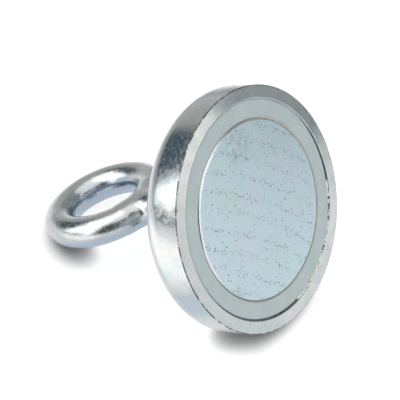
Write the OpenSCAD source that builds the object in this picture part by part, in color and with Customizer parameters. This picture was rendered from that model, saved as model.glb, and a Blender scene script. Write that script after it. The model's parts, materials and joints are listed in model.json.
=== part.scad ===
// Pot magnet with an eyebolt, for pulling iron out of water.
// Millimetres. The parts are drawn along the magnet's own axis: z = 0 is the rim face and z grows
// towards the eye. rest_pose() then leans them as the magnet lies on a floor, with +Z up, the face
// towards -Y and the eye towards +Y. The floor is z = 0, under the middle of the magnet's length.

/* [Pot] */
// Outside diameter of the steel pot
pot_d = 75; // [66:0.5:100]
// Depth of the pot, from its rim face to its flat back
pot_depth = 16; // [13:0.5:24]
// Radius of the rounded edge around the back
back_edge_r = 7.8; // [4:0.1:9]
// Thickness of the pot's wall at the rim
rim_wall = 4; // [3:0.1:6]
// Thickness of the pot's base
base_t = 6.5; // [5:0.1:8]
// Chamfer around the outer edge of the rim
rim_chamfer = 0.3; // [0.1:0.1:0.8]
// Chamfer around the pot's mouth
mouth_chamfer = 0.2; // [0.1:0.1:0.4]

/* [Magnet] */
// Diameter of the magnet disc
magnet_d = 55.2; // [44:0.1:56]
// Depth of the magnet's face below the rim face
magnet_recess = 0.2; // [0.1:0.1:1.2]
// Radius of the magnet's front edge
magnet_edge_r = 0.9; // [0.2:0.1:1.2]
// Thickness of the adhesive under the magnet
adhesive_t = 0.3; // [0.1:0.1:0.6]
// Width of the bare border around the adhesive
adhesive_border = 1; // [0.5:0.1:3]

/* [Spacer ring] */
// Depth of the spacer ring's face below the rim face
spacer_recess = 0.2; // [0.1:0.1:2]
// Groove between the magnet and the spacer ring
spacer_inner_gap = 0.45; // [0.35:0.05:0.8]
// Gap between the spacer ring and the pot's wall
spacer_outer_gap = 0.5; // [0.35:0.05:0.8]
// How far the spacer ring lies off the pot's axis
spacer_shift = 0.3; // [0:0.05:0.3]
// Direction of that shift, seen on the face from its right-hand side upwards
spacer_shift_angle = 125; // [0:5:355]
// Chamfer around the spacer ring's front edges
spacer_chamfer = 0.2; // [0.1:0.1:0.5]
// Depth of the sealant's surface below the spacer ring's face
sealant_recess = 0.6; // [0.3:0.1:1.5]
// Depth of the band of sealant
sealant_h = 2.5; // [1:0.1:4]

/* [Threaded bush] */
// Outside diameter of the bush behind the pot
bush_d = 20; // [18:0.5:26]
// Height of the bush above the pot's back
bush_h = 10; // [6:0.5:16]
// Diameter of the bush's spigot in the pot's base
spigot_d = 16; // [14.5:0.1:17]
// Chamfer around the bush's free end
bush_chamfer = 1; // [0.3:0.1:1.5]

/* [Eyebolt] */
// Nominal diameter of the thread
thread_d = 10; // [8:0.5:12]
// Pitch of the thread
thread_pitch = 1.5; // [1:0.25:1.75]
// Chamfer on the end of the shank
shank_chamfer = 1; // [0.5:0.1:1.5]
// Room between the shank's end and the adhesive
shank_end_gap = 1.5; // [0.5:0.1:4]
// Thickness of the ring's round section
eye_wire_d = 10; // [8:0.1:13]
// Inside diameter of the ring
eye_inner_d = 21.2; // [16:0.1:30]
// Radius of the blend from the neck into the ring
neck_blend_r = 7; // [3:0.1:12]
// Length of plain neck between the thread and the blend
neck_l = 1.2; // [0.5:0.1:20]

/* [Nut and washers] */
// Width of the jam nut across its flats
nut_af = 17; // [15:0.5:22]
// Thickness of the jam nut
nut_t = 5; // [4:0.1:8]
// Turns that the jam nut backs off before the thread ends
nut_turns = 1.5; // [0.5:0.25:4]
// Outside diameter of the flat washer
washer_d = 20; // [18:0.5:26]
// Thickness of the flat washer
washer_t = 2; // [1:0.1:3]
// Outside diameter of the spring washer
spring_d = 18.1; // [15.5:0.1:22]
// Thickness of the spring washer
spring_t = 2.2; // [1.5:0.1:3]
// Width of the split in the spring washer
split_w = 1.4; // [0.8:0.1:2.5]
// Slant of the split
split_angle = 20; // [0:1:30]

/* [Fits] */
// Running clearance of the thread, on the radius
thread_clearance = 0.05; // [0.02:0.01:0.1]
// Clearance of the flat washer on the shank, on the radius
washer_clearance = 0.25; // [0.1:0.05:0.4]
// Clearance of the spring washer on the shank, on the radius
spring_clearance = 0.1; // [0.05:0.01:0.2]
// Clearance of parts that are pressed or bonded together
bonded_clearance = 0.02; // [0.01:0.01:0.05]
// Clearance between faces that are screwed tight
seat_clearance = 0.05; // [0.02:0.01:0.1]

/* [Hidden] */
$fn = 96;

// Cutters reach this far past what they cut
over = 1;
// Share of the ring's thickness that its two roots have, so that they sink into it
root_share = 0.96;
// Slope of the chamfer on the nut's corners
nut_corner_slope = 30;
// Countersink at each end of a tapped hole
tapped_chamfer = 0.6;
// Chamfer around the flat washer's upper edge
washer_chamfer = 0.4;

pot_r = pot_d / 2;
cavity_r = pot_r - rim_wall;
cavity_depth = pot_depth - base_t;
magnet_r = magnet_d / 2;
magnet_back = cavity_depth - adhesive_t;
spacer_inner_r = magnet_r + spacer_inner_gap;
spacer_outer_r = cavity_r - spacer_outer_gap;
sealant_top = spacer_recess + sealant_recess;

thread_r = thread_d / 2;
tapped_r = thread_r + thread_clearance;
spigot_r = spigot_d / 2;
bush_end = pot_depth + bush_h;
washer_start = bush_end + seat_clearance;
spring_start = washer_start + washer_t + seat_clearance;
nut_start = spring_start + spring_t + seat_clearance;
nut_end = nut_start + nut_t;
thread_end = nut_end + nut_turns * thread_pitch;
shank_start = cavity_depth + shank_end_gap;

wire_r = eye_wire_d / 2;
eye_r = eye_inner_d / 2 + wire_r;
blend_start = thread_end + neck_l;
blend_offset = thread_r + neck_blend_r;
blend_rise = sqrt(pow(eye_r + wire_r + neck_blend_r, 2) - pow(blend_offset, 2));
blend_sweep = atan2(blend_rise, blend_offset);
eye_centre = blend_start + blend_rise;

// The lean at which the rounded back edge and the ring's tip touch the floor together
lean_across = pot_r - back_edge_r;
lean_along = eye_centre + eye_r - pot_depth + back_edge_r;
lean_reach = sqrt(pow(lean_across, 2) + pow(lean_along, 2));
lean = acos((wire_r - back_edge_r) / lean_reach) - atan2(lean_along, lean_across);
face_height = (pot_depth - back_edge_r) * sin(lean) + lean_across * cos(lean) + back_edge_r;
front_y = -(pot_r - rim_chamfer) * sin(lean);
back_y = (eye_centre + eye_r) * cos(lean) + wire_r;

module rest_pose() {
    translate([0, -(front_y + back_y) / 2, face_height])
        rotate([-90 - lean, 0, 0])
            children();
}

// A square section from one radius and height to another
module band(inner_r, start, outer_r, end) {
    translate([inner_r, start])
        square([outer_r - inner_r, end - start]);
}

// A cut of 45 degrees that takes the size c off a section's corner; sx and sy point into the section
module corner_cut(r, z, c, sx, sy) {
    polygon([
        [r - sx * over, z - sy * over],
        [r + sx * (c + over), z - sy * over],
        [r - sx * over, z + sy * (c + over)]
    ]);
}

module pot_section() {
    difference() {
        union() {
            band(0, 0, pot_r, pot_depth - back_edge_r);
            band(0, 0, pot_r - back_edge_r, pot_depth);
            translate([pot_r - back_edge_r, pot_depth - back_edge_r])
                circle(r = back_edge_r);
        }
        band(-over, -over, cavity_r, cavity_depth);
        band(-over, 0, spigot_r + bonded_clearance, pot_depth + over);
        corner_cut(pot_r, 0, rim_chamfer, -1, 1);
        corner_cut(cavity_r, 0, mouth_chamfer, 1, 1);
    }
}

module pot_cup() {
    color("lightsteelblue")
        rest_pose()
            rotate_extrude()
                pot_section();
}

module bush_section() {
    difference() {
        union() {
            band(tapped_r, cavity_depth, spigot_r, bush_end);
            band(tapped_r, pot_depth, bush_d / 2, bush_end);
        }
        corner_cut(bush_d / 2, bush_end, bush_chamfer, -1, -1);
        corner_cut(tapped_r, bush_end, tapped_chamfer, 1, -1);
    }
}

module threaded_bush() {
    color("silver")
        rest_pose()
            rotate_extrude()
                bush_section();
}

module magnet_section() {
    band(0, magnet_recess + magnet_edge_r, magnet_r, magnet_back);
    band(0, magnet_recess, magnet_r - magnet_edge_r, magnet_back);
    translate([magnet_r - magnet_edge_r, magnet_recess + magnet_edge_r])
        circle(r = magnet_edge_r);
}

module magnet_disc() {
    color("lightblue")
        rest_pose()
            rotate_extrude()
                magnet_section();
}

module magnet_adhesive() {
    color("tan")
        rest_pose()
            translate([0, 0, magnet_back])
                cylinder(r = magnet_r - adhesive_border, h = adhesive_t);
}

module spacer_section() {
    difference() {
        band(spacer_inner_r, spacer_recess, spacer_outer_r, cavity_depth);
        corner_cut(spacer_inner_r, spacer_recess, spacer_chamfer, 1, 1);
        corner_cut(spacer_outer_r, spacer_recess, spacer_chamfer, -1, 1);
    }
}

// The spacer ring's place, off the axis by its shift
module spacer_place() {
    translate([spacer_shift * cos(spacer_shift_angle), -spacer_shift * sin(spacer_shift_angle), 0])
        children();
}

module spacer_ring() {
    color("darkseagreen")
        rest_pose()
            spacer_place()
                rotate_extrude()
                    spacer_section();
}

module sealant_band() {
    color("dimgray")
        rest_pose()
            translate([0, 0, sealant_top])
                difference() {
                    cylinder(r = cavity_r - bonded_clearance, h = sealant_h);
                    spacer_place()
                        translate([0, 0, -over])
                            cylinder(r = spacer_outer_r + bonded_clearance, h = sealant_h + 2 * over);
                }
}

module flat_washer() {
    color("gainsboro")
        rest_pose()
            rotate_extrude()
                difference() {
                    band(thread_r + washer_clearance, washer_start, washer_d / 2, washer_start + washer_t);
                    corner_cut(washer_d / 2, washer_start + washer_t, washer_chamfer, -1, -1);
                }
}

module spring_washer() {
    color("darkgray")
        rest_pose()
            difference() {
                rotate_extrude()
                    band(thread_r + spring_clearance, spring_start, spring_d / 2, spring_start + spring_t);
                translate([spring_d / 2, 0, spring_start + spring_t / 2])
                    rotate([split_angle, 0, 0])
                        cube([spring_d, split_w, 3 * spring_t], center = true);
            }
}

// The round profile that bevels the corners of a hexagon at both ends
module nut_bevel_section() {
    corner_r = nut_af / 2 / cos(30);
    drop = (corner_r - nut_af / 2) * tan(nut_corner_slope);
    polygon([
        [tapped_r, nut_start],
        [nut_af / 2, nut_start],
        [corner_r, nut_start + drop],
        [corner_r, nut_end - drop],
        [nut_af / 2, nut_end],
        [tapped_r, nut_end]
    ]);
}

module jam_nut() {
    color("silver")
        rest_pose()
            intersection() {
                translate([0, 0, nut_start - over])
                    cylinder(d = nut_af / cos(30), h = nut_t + 2 * over, $fn = 6);
                rotate_extrude()
                    difference() {
                        nut_bevel_section();
                        corner_cut(tapped_r, nut_start, tapped_chamfer, 1, 1);
                        corner_cut(tapped_r, nut_end, tapped_chamfer, 1, -1);
                    }
            }
}

module shank_section() {
    difference() {
        band(0, shank_start, thread_r, eye_centre - eye_r);
        corner_cut(thread_r, shank_start, shank_chamfer, -1, 1);
    }
}

// One of the two round roots that curve out of the neck into the ring
module eye_root() {
    translate([blend_offset, 0, blend_start])
        rotate([90, blend_sweep - 180, 0])
            rotate_extrude(angle = blend_sweep)
                translate([neck_blend_r + wire_r, 0])
                    circle(r = wire_r * root_share);
}

module eyebolt() {
    color("darkgray")
        rest_pose() {
            rotate_extrude()
                shank_section();
            translate([0, 0, eye_centre])
                rotate([90, 0, 0])
                    rotate_extrude()
                        translate([eye_r, 0])
                            circle(r = wire_r);
            eye_root();
            mirror([1, 0, 0])
                eye_root();
        }
}

pot_cup();
threaded_bush();
magnet_disc();
magnet_adhesive();
spacer_ring();
sealant_band();
flat_washer();
spring_washer();
jam_nut();
eyebolt();
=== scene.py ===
"""Looks of a round holding magnet with a screwed-in eye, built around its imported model.

Every mesh is drawn in the magnet's own axis frame (x across the face, y down the face, u from the
rim towards the eye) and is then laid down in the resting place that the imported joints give. All
sizes are in metres.
"""

import json
import logging
import math
from dataclasses import dataclass
from enum import Enum
from typing import Any, Callable, Sequence

import bmesh
import bpy
import numpy as np
from mathutils import Matrix, Vector


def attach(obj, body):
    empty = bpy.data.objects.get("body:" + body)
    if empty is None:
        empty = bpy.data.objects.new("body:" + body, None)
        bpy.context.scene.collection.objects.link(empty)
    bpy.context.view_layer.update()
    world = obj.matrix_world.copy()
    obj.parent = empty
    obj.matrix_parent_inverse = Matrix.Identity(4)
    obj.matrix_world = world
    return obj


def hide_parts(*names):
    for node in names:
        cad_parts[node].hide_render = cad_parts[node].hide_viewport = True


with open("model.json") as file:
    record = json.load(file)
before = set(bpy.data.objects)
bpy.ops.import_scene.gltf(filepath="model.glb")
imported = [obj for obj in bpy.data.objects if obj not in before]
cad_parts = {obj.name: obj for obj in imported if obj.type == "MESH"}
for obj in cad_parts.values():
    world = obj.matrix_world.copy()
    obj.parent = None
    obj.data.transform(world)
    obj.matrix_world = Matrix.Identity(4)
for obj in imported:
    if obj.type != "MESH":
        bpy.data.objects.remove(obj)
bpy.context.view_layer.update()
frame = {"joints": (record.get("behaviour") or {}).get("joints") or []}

LOG = logging.getLogger("magnet")
MM = 0.001
Point = tuple[float, float]
Place = tuple[float, float, float]
Colour = tuple[float, float, float]
WHITE: Colour = (1.0, 1.0, 1.0)
BLACK: Colour = (0.0, 0.0, 0.0)


class Body(Enum):
    """The moving bodies that pieces ride on."""

    EYEBOLT = "eyebolt"
    POT = "pot"
    FLAT_WASHER = "flat_washer"
    SPRING_WASHER = "spring_washer"
    JAM_NUT = "jam_nut"


class Slot(Enum):
    """The record's material slots."""

    POT = "pot_plating"
    BUSH = "bush_plating"
    MAGNET = "magnet_plating"
    ADHESIVE = "adhesive"
    SPACER = "spacer"
    SEALANT = "sealant"
    FASTENER = "fastener_plating"
    SPRING = "spring_steel"
    EYE = "eye_plating"


class Cloud(Enum):
    """How fine a noise is: how many layers it has, and how strong the finer ones are."""

    SMOOTH = (1.0, 0.5)
    PLAIN = (2.0, 0.5)
    SOFT = (2.0, 0.55)
    FINE = (3.0, 0.6)
    RICH = (4.0, 0.6)


class Wire:
    """One output of a node, with the arithmetic of single values."""

    def __init__(self, sheet: "NodeSheet", socket: bpy.types.NodeSocket) -> None:
        """Keeps the node tree's sheet and the socket."""
        self.sheet = sheet
        self.socket = socket

    def math(self, operation: str, *others: "Wire | float") -> "Wire":
        """Adds a Math node whose first value is this wire.

        Args:
            operation: The Math node's operation.
            others: The other values, in order.

        Returns:
            The node's result.
        """
        values = dict(enumerate((self, *others)))
        return self.sheet.wire("ShaderNodeMath", {"operation": operation}, values)

    def flipped(self, operation: str, first: float) -> "Wire":
        """Adds a Math node with a plain number before this wire."""
        return self.sheet.wire("ShaderNodeMath", {"operation": operation}, {0: first, 1: self})

    def __add__(self, other: "Wire | float") -> "Wire":
        """This plus the other."""
        return self.math("ADD", other)

    def __radd__(self, other: float) -> "Wire":
        """The other plus this."""
        return self.math("ADD", other)

    def __sub__(self, other: "Wire | float") -> "Wire":
        """This less the other."""
        return self.math("SUBTRACT", other)

    def __rsub__(self, other: float) -> "Wire":
        """The other less this."""
        return self.flipped("SUBTRACT", other)

    def __mul__(self, other: "Wire | float") -> "Wire":
        """This times the other."""
        return self.math("MULTIPLY", other)

    def __rmul__(self, other: float) -> "Wire":
        """The other times this."""
        return self.math("MULTIPLY", other)

    def __truediv__(self, other: "Wire | float") -> "Wire":
        """This over the other."""
        return self.math("DIVIDE", other)

    def __rtruediv__(self, other: float) -> "Wire":
        """The other over this."""
        return self.flipped("DIVIDE", other)

    def __pow__(self, other: "Wire | float") -> "Wire":
        """This to the power of the other."""
        return self.math("POWER", other)

    def __neg__(self) -> "Wire":
        """This with its sign turned."""
        return self.math("MULTIPLY", -1.0)

    def __abs__(self) -> "Wire":
        """This without its sign."""
        return self.math("ABSOLUTE")

    def at_most(self, other: "Wire | float") -> "Wire":
        """The smaller of this and the other."""
        return self.math("MINIMUM", other)

    def at_least(self, other: "Wire | float") -> "Wire":
        """The larger of this and the other."""
        return self.math("MAXIMUM", other)

    def clamped(self) -> "Wire":
        """This, held between 0 and 1."""
        return self.at_least(0.0).at_most(1.0)

    def fraction(self) -> "Wire":
        """What is left of this after whole numbers are taken off."""
        return self.math("FRACT")

    def rising(self, low: "Wire | float", high: "Wire | float") -> "Wire":
        """A smooth step from 0 at low to 1 at high."""
        settings = {"interpolation_type": "SMOOTHSTEP"}
        return self.sheet.wire("ShaderNodeMapRange", settings, {0: self, 1: low, 2: high})

    def falling(self, low: "Wire | float", high: "Wire | float") -> "Wire":
        """A smooth step from 1 at low to 0 at high."""
        return 1.0 - self.rising(low, high)


class NodeSheet:
    """One node tree, with short ways to add its nodes and links."""

    def __init__(self, tree: bpy.types.NodeTree) -> None:
        """Takes an empty sheet: any node that is in the tree is removed."""
        self.tree = tree
        tree.nodes.clear()

    def node(
        self,
        kind: str,
        settings: dict[str, Any] | None = None,
        sockets: dict[str | int, Any] | None = None,
    ) -> bpy.types.Node:
        """Adds one node.

        Args:
            kind: The node's type.
            settings: The node's own properties, set first.
            sockets: Values or wires for its inputs, by name or place.

        Returns:
            The new node.
        """
        node = self.tree.nodes.new(kind)
        for name, value in (settings or {}).items():
            setattr(node, name, value)
        for key, value in (sockets or {}).items():
            self.feed(node.inputs[key], value)
        return node

    def feed(self, socket: bpy.types.NodeSocket, value: Any) -> None:
        """Links a wire to an input, or sets the input's own value.

        Args:
            socket: The input.
            value: A wire, a number, a colour, a vector or a material.
        """
        if isinstance(value, Wire):
            self.tree.links.new(value.socket, socket)
        elif socket.type == "RGBA" and len(value) == 3:
            socket.default_value = (*value, 1.0)
        else:
            socket.default_value = value

    def wire(
        self,
        kind: str,
        settings: dict[str, Any] | None = None,
        sockets: dict[str | int, Any] | None = None,
        output: str | int = 0,
    ) -> Wire:
        """Adds one node and returns one of its outputs.

        Args:
            kind: The node's type.
            settings: The node's own properties, set first.
            sockets: Values or wires for its inputs, by name or place.
            output: The output's name or place.

        Returns:
            The output as a wire.
        """
        return Wire(self, self.node(kind, settings, sockets).outputs[output])

    def blend(self, share: Wire | float, first: Any, second: Any, mode: str = "MIX") -> Wire:
        """Mixes two colours.

        Args:
            share: How much of the second colour shows.
            first: A colour or a wire.
            second: A colour or a wire.
            mode: The Mix node's way to blend.

        Returns:
            The mixed colour.
        """
        settings = {"data_type": "RGBA", "blend_type": mode}
        return self.wire("ShaderNodeMix", settings, {0: share, 6: first, 7: second}, 2)

    def vector(self, operation: str, first: Any, second: Any = None, output: int = 0) -> Wire:
        """Adds a Vector Math node.

        Args:
            operation: The node's operation.
            first: A vector or a wire.
            second: A vector or a wire, where the operation has one.
            output: 0 for a vector, 1 for a value.

        Returns:
            The node's result.
        """
        sockets = {0: first} if second is None else {0: first, 1: second}
        return self.wire("ShaderNodeVectorMath", {"operation": operation}, sockets, output)

    def parts(self, vector: Wire) -> tuple[Wire, Wire, Wire]:
        """Splits a vector into its three values."""
        node = self.node("ShaderNodeSeparateXYZ", None, {0: vector})
        return tuple(Wire(self, socket) for socket in node.outputs)

    def distance(self, where: Wire, spot: Place) -> Wire:
        """How far a point lies from a fixed spot."""
        return self.vector("DISTANCE", where, spot, 1)

    def noise(self, where: Wire, scale: float, cloud: Cloud = Cloud.PLAIN) -> Wire:
        """A cloudy value around 0.5.

        Args:
            where: The point.
            scale: Clouds in each unit of length.
            cloud: How fine the clouds are.

        Returns:
            The value.
        """
        detail, rough = cloud.value
        sockets = {"Vector": where, "Scale": scale, "Detail": detail, "Roughness": rough}
        return self.wire("ShaderNodeTexNoise", None, sockets)


def new_material(name: str, surface: Callable[[NodeSheet], Wire]) -> bpy.types.Material:
    """Makes a material.

    Args:
        name: The material's name.
        surface: Adds nodes to the material's sheet and returns the last shader.

    Returns:
        The new material.
    """
    made = bpy.data.materials.new(name)
    made.use_nodes = True
    sheet = NodeSheet(made.node_tree)
    sheet.node("ShaderNodeOutputMaterial", None, {"Surface": surface(sheet)})
    return made


def pot_turn(key: str) -> Place:
    """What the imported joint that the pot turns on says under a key."""
    return tuple(next(joint[key] for joint in frame["joints"] if joint["name"] == "pot_turn"))


@dataclass(frozen=True)
class Layout:
    """Main sizes of the magnet along its axis, and how it lies on the floor."""

    pot_r: float = 37.5 * MM
    pot_depth: float = 16.0 * MM
    cavity_r: float = 33.5 * MM
    cavity_depth: float = 9.5 * MM
    magnet_r: float = 27.6 * MM
    magnet_recess: float = 0.2 * MM
    spacer_recess: float = 0.2 * MM
    bonded_gap: float = 0.02 * MM
    thread_r: float = 5.0 * MM
    thread_pitch: float = 1.5 * MM
    thread_end: float = 37.6 * MM
    neck_l: float = 1.2 * MM
    blend_r: float = 7.0 * MM
    wire_r: float = 5.0 * MM
    ring_r: float = 15.6 * MM
    face_centre: Place = pot_turn("pos_m")
    outward: Place = pot_turn("axis")

    @property
    def blend_start(self) -> float:
        """Where the neck starts to widen into the ring."""
        return self.thread_end + self.neck_l

    @property
    def blend_offset(self) -> float:
        """How far off the axis the middle of the widening's bend lies."""
        return self.thread_r + self.blend_r

    @property
    def ring_u(self) -> float:
        """The ring's middle on the axis."""
        slant = self.ring_r + self.wire_r + self.blend_r
        return self.blend_start + math.sqrt(slant**2 - self.blend_offset**2)

    @property
    def lean(self) -> float:
        """How far the face is turned up from standing upright, in radians."""
        return math.atan2(self.outward[2], -self.outward[1])

    @property
    def turn(self) -> float:
        """The turn about x that lays the axis frame down."""
        return -math.pi / 2 - self.lean

    @property
    def resting(self) -> Matrix:
        """The matrix from the axis frame to the resting place."""
        return Matrix.Translation(self.face_centre) @ Matrix.Rotation(self.turn, 4, "X")


LAYOUT = Layout()


class AxisPlace:
    """Where a shaded point lies on the magnet's axis, in millimetres."""

    def __init__(self, sheet: NodeSheet) -> None:
        """Turns Object coordinates into the axis frame.

        Args:
            sheet: The material's sheet.
        """
        own = sheet.wire("ShaderNodeTexCoord", output="Object")
        self.point = sheet.wire(
            "ShaderNodeMapping",
            {"vector_type": "TEXTURE"},
            {
                "Vector": own,
                "Location": LAYOUT.face_centre,
                "Rotation": (LAYOUT.turn, 0.0, 0.0),
                "Scale": (MM, MM, MM),
            },
        )
        self.across, self.fall, self.along = sheet.parts(self.point)
        self.radius = (self.across * self.across + self.fall * self.fall) ** 0.5


@dataclass
class Coat:
    """What a shader is fed with; the height is in millimetres and bends the normal."""

    colour: Wire
    gloss: Wire
    height: Wire
    metal: Wire | float = 0.0


@dataclass(frozen=True)
class Finish:
    """A surface finish; the subclasses say what its coat is.

    Places and lengths are in millimetres. A band is the pair of values between which a mark comes
    up or fades, and a share is how strongly it shows.
    """

    name: str

    def material(self) -> bpy.types.Material:
        """Makes the finish's material."""
        return new_material(self.name, self.surface)

    def surface(self, sheet: NodeSheet) -> Wire:
        """Adds the shader and what its coat feeds it with.

        Args:
            sheet: The material's sheet.

        Returns:
            The shader.
        """
        coat = self.dress(sheet, AxisPlace(sheet))
        bump = {"Strength": 1.0, "Distance": MM, "Height": coat.height}
        sockets = {
            "Base Color": coat.colour,
            "Roughness": coat.gloss,
            "Metallic": coat.metal,
            "Normal": sheet.wire("ShaderNodeBump", None, bump),
        }
        return sheet.wire("ShaderNodeBsdfPrincipled", None, sockets)

    def dress(self, sheet: NodeSheet, place: AxisPlace) -> Coat:
        """Makes the coat; each finish has its own."""
        raise NotImplementedError


@dataclass(frozen=True)
class ZincPlating(Finish):
    """Bright zinc on steel: a bluish mirror that its fine grain breaks up."""

    colour: Colour = (0.61, 0.645, 0.67)
    tint: Colour = (0.52, 0.575, 0.62)
    tint_scale: float = 0.16
    tint_band: Point = (0.4, 0.68)
    warm: Colour = (0.66, 0.655, 0.61)
    warm_scale: float = 0.9
    warm_band: Point = (0.55, 0.78)
    warm_share: float = 0.5
    # painted shade: colour, band and sway of a darker bluish tone down the face, standing in for the shaded
    # floor's reflection
    painted_shade: Colour = (0.52, 0.575, 0.62)
    painted_shade_band: Point = (0.0, 10.0)
    painted_shade_sway: float = 4.0
    roughness: float = 0.17
    roughness_spread: float = 0.16
    roughness_band: Point = (0.35, 0.7)
    grain: float = 0.030
    grain_scale: float = 1.9
    swell: float = 0.05
    swell_scale: float = 0.22

    def dress(self, sheet: NodeSheet, place: AxisPlace) -> Coat:
        """Makes cloudy tints, a painted bluish shade that grows down the face, patchy gloss and grain.

        Args:
            sheet: The material's sheet.
            place: The point on the axis.

        Returns:
            The coat, with the piece's own marks in it.
        """
        clouds = sheet.noise(place.point, self.tint_scale, Cloud.FINE)
        spots = sheet.noise(place.point, self.warm_scale, Cloud.FINE)
        colour = sheet.blend(clouds.rising(*self.tint_band), self.colour, self.tint)
        colour = sheet.blend(spots.rising(*self.warm_band) * self.warm_share, colour, self.warm)
        # painted shade: the darker bluish tone down the face
        colour = sheet.blend(self.painted_shade_share(place, clouds), colour, self.painted_shade)
        gloss = self.roughness + self.roughness_spread * spots.rising(*self.roughness_band)
        height = self.grain * sheet.noise(place.point, self.grain_scale, Cloud.FINE)
        height = height + self.swell * sheet.noise(place.point, self.swell_scale, Cloud.SMOOTH)
        return self.marked(sheet, place, Coat(colour, gloss, height, 1.0))

    def painted_shade_share(self, place: AxisPlace, clouds: Wire) -> Wire:
        """Painted shade: how strongly a darker bluish tone, standing in for the shaded floor's reflection,
        shows; it grows down the face.
        """
        return (place.fall + self.painted_shade_sway * (clouds - 0.5)).rising(*self.painted_shade_band)

    def marked(self, sheet: NodeSheet, place: AxisPlace, coat: Coat) -> Coat:
        """Adds a piece's own marks; plain plating has none."""
        return coat


@dataclass(frozen=True)
class EyePlating(ZincPlating):
    """Zinc on the eye, whose painted bluish shade starts higher inside the ring."""

    painted_shade_sway: float = 2.0
    inside_shift: float = 2.6
    inside_band: Point = (-3.5, 0.5)

    def painted_shade_share(self, place: AxisPlace, clouds: Wire) -> Wire:
        """How strongly the painted bluish shade shows, which starts higher inside the ring.

        Args:
            place: The point on the axis.
            clouds: The plating's cloudy value.

        Returns:
            1 where the painted shade is full, 0 where the plating is plain.
        """
        forward = place.along - LAYOUT.ring_u / MM
        past = (place.across * place.across + forward * forward) ** 0.5 - LAYOUT.ring_r / MM
        # painted shade: inside the ring the bluish darkening starts higher up
        level = place.fall + self.inside_shift * past.falling(*self.inside_band)
        return (level + self.painted_shade_sway * (clouds - 0.5)).rising(*self.painted_shade_band)


@dataclass(frozen=True)
class PotPlating(ZincPlating):
    """Zinc on the pot, with a turned rim and worn edges."""

    rim_band: Point = (0.3, 0.36)
    # painted shade: how much of the bluish darkening shows on the rim
    rim_painted_shade: float = 0.4
    rim_smooth: float = 0.8
    rim_gloss: float = 0.4
    floor_band: Point = (12.0, 19.0)
    turned: Colour = (0.605, 0.62, 0.61)
    turned_share: float = 0.4
    patch_scale: float = 0.22
    patch_shift: Place = (5.0, 3.0, 0.0)
    cream: Colour = (0.64, 0.635, 0.60)
    cream_band: Point = (0.3, 0.55)
    cream_share: float = 0.5
    # colour of the random dull patches and of the painted shade on one side of the rim
    dull_and_shade: Colour = (0.40, 0.45, 0.445)
    dull_band: Point = (0.48, 0.72)
    dull_share: float = 0.4
    # painted shade: which side of the rim is darkened, and how strongly
    shaded_side_way: Point = (-0.966, 0.26)
    shaded_side_band: Point = (0.3, 0.65)
    shaded_side_share: float = 0.45
    edge: Colour = (0.05, 0.045, 0.036)
    edge_inset: float = 0.07
    edge_along: float = 0.37
    edge_band: Point = (0.12, 0.45)
    edge_share: float = 0.9
    edge_roughness: float = 0.5
    wander_scale: float = 0.5
    wander_band: Point = (0.36, 0.54)
    rust: Colour = (0.32, 0.25, 0.17)
    rust_scale: float = 0.28
    rust_band: Point = (0.63, 0.71)
    rust_reach: Point = (0.3, 1.8)
    rust_share: float = 0.7
    speck_scale: float = 1.7
    speck_band: Point = (0.735, 0.77)
    speck_share: float = 0.75

    def painted_shade_share(self, place: AxisPlace, clouds: Wire) -> Wire:
        """How strongly the painted bluish shade shows, which is least on the rim and near the floor.

        Args:
            place: The point on the axis.
            clouds: The plating's cloudy value.

        Returns:
            1 where the painted shade is full, 0 where the plating is plain.
        """
        wall = place.fall.falling(*self.floor_band)
        share = self.rim_painted_shade + (wall - self.rim_painted_shade) * place.along.rising(*self.rim_band)
        return super().painted_shade_share(place, clouds) * share

    def marked(self, sheet: NodeSheet, place: AxisPlace, coat: Coat) -> Coat:
        """Smooths the rim, and adds the bare line on its edge, brown blotches and dark specks.

        Args:
            sheet: The material's sheet.
            place: The point on the axis.
            coat: The plating without marks.

        Returns:
            The coat with the marks in it.
        """
        rim = place.along.falling(*self.rim_band)
        gap = abs(place.radius - LAYOUT.pot_r / MM + self.edge_inset) + abs(place.along - self.edge_along)
        wander = sheet.noise(place.point, self.wander_scale, Cloud.FINE)
        line = gap.falling(*self.edge_band) * wander.rising(*self.wander_band)
        rusty = sheet.noise(place.point, self.rust_scale).rising(*self.rust_band)
        blotch = gap.falling(*self.rust_reach) * rusty
        speck = sheet.noise(place.point, self.speck_scale, Cloud.SMOOTH).rising(*self.speck_band) * rim
        colour = self.turned_colour(sheet, place, coat.colour, rim)
        colour = sheet.blend(blotch * self.rust_share, colour, self.rust)
        colour = sheet.blend(line * self.edge_share, colour, self.edge)
        colour = sheet.blend(speck * self.speck_share, colour, self.edge)
        gloss = coat.gloss * (1.0 - self.rim_gloss * rim)
        gloss = gloss.at_least(self.edge_roughness * line.at_least(speck))
        return Coat(colour, gloss, coat.height * (1.0 - self.rim_smooth * rim), coat.metal)

    def turned_colour(self, sheet: NodeSheet, place: AxisPlace, colour: Wire, rim: Wire) -> Wire:
        """Greys the turned rim, with cream and dull patches, and a painted shade on one side.

        Args:
            sheet: The material's sheet.
            place: The point on the axis.
            colour: The plating's colour.
            rim: 1 on the rim, 0 away from it.

        Returns:
            The colour with the rim's greys in it.
        """
        shifted = sheet.vector("ADD", place.point, self.patch_shift)
        patches = sheet.noise(shifted, self.patch_scale, Cloud.RICH)
        # painted shade: one side of the rim is darkened
        aside = self.shaded_side_way[0] * place.across + self.shaded_side_way[1] * place.fall
        side = (aside / (LAYOUT.pot_r / MM)).rising(*self.shaded_side_band)
        colour = sheet.blend(rim * self.turned_share, colour, self.turned)
        colour = sheet.blend(patches.falling(*self.cream_band) * rim * self.cream_share, colour, self.cream)
        colour = sheet.blend(patches.rising(*self.dull_band) * rim * self.dull_share, colour, self.dull_and_shade)
        return sheet.blend(side * rim * self.shaded_side_share, colour, self.dull_and_shade)


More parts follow.
